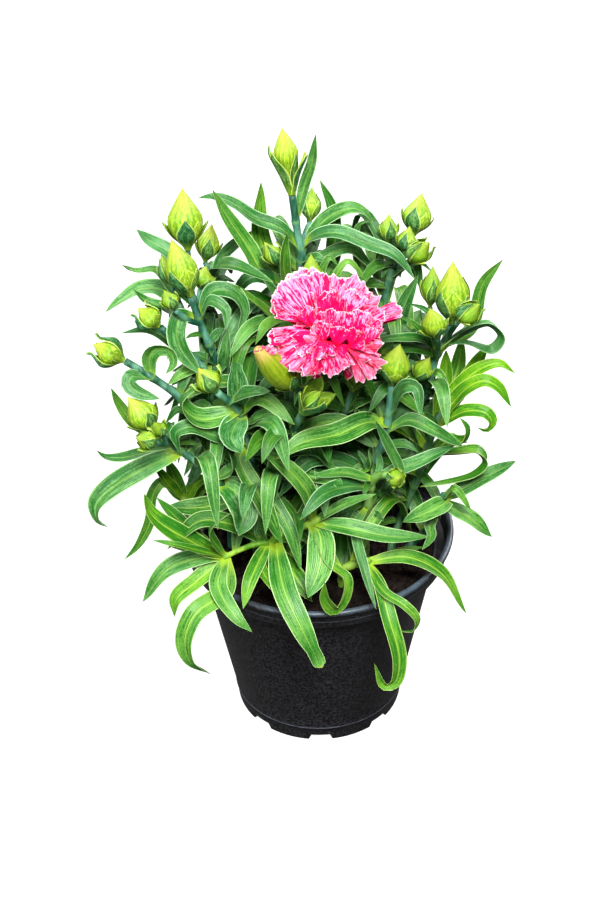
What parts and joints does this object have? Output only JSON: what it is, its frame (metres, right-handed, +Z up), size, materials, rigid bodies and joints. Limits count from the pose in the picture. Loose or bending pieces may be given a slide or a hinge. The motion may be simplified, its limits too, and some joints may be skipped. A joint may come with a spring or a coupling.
{
  "type": "potted carnation plant",
  "caption": "Potted dianthus plant with ribbon leaves, closed green buds and one frilled pink double bloom, in a round black nursery pot.",
  "frame": {"origin": "middle of the pot's underside, on the surface that it stands on", "axes": "+Z up along the pot's axis, -Y toward the plant's front, +X to the right seen from the front"},
  "size_m": [0.2109, 0.2107, 0.3185],
  "materials": {
    "pot": "satin black moulded plastic with fine scuffs and a soft sheen on the rim",
    "soil": "matt, loose dark brown peat crumb with reddish fibres",
    "foliage": "satin blue-green waxy leaf with a pale midrib and edge, yellow-green on older leaves",
    "bud": "satin yellow-green calyx with fine lengthwise ribs and darker bracts",
    "petals": "soft matt petal, pale pink with hot pink streaks and whitish frilled edges"
  },
  "bodies": {
    "root": {"pot": "pot", "soil": "soil", "bloom_petals": "petals", "bloom_calyx": "bud", "bud_top": "bud", "bud_top_right": "bud", "bud_left_front": "bud", "bud_left_inner": "bud", "bud_left_slim": "bud", "bud_left_high": "bud", "bud_left_side": "bud", "bud_left_small": "bud", "bud_left_open": "bud", "bud_outer": "bud", "bud_star": "bud", "bud_low_left": "bud", "bud_low_side": "bud", "bud_low_inner": "bud", "bud_cup": "bud", "bud_opening": "bud", "bud_right_of_bloom": "bud", "bud_behind_bloom": "bud", "bud_right_big": "bud", "bud_right_top": "bud", "bud_right_pointing": "bud", "bud_right_back": "bud", "bud_right_front": "bud", "bud_right_low": "bud", "bud_rear_small": "bud", "bud_rear_high": "bud", "bud_rear_left": "bud", "bud_rear_right": "bud", "bud_rear_tiny": "bud", "bud_end_on": "bud", "shoot_top": "foliage", "shoot_upper_left": "foliage", "shoot_left_mid": "foliage", "shoot_left_outer": "foliage", "shoot_left_star": "foliage", "shoot_left_low": "foliage", "shoot_centre": "foliage", "shoot_bloom": "foliage", "shoot_right_mid": "foliage", "shoot_right_upper": "foliage", "shoot_back_right": "foliage", "shoot_back_left": "foliage", "shoot_young": "foliage", "shoot_creeping": "foliage", "shoot_creeping_right": "foliage", "shoot_fan_right": "foliage", "shoot_right_low": "foliage", "shoot_left_fan": "foliage", "shoot_rear_left": "foliage", "shoot_rear_middle": "foliage", "shoot_rear_right": "foliage"}
  },
  "joints": []
}
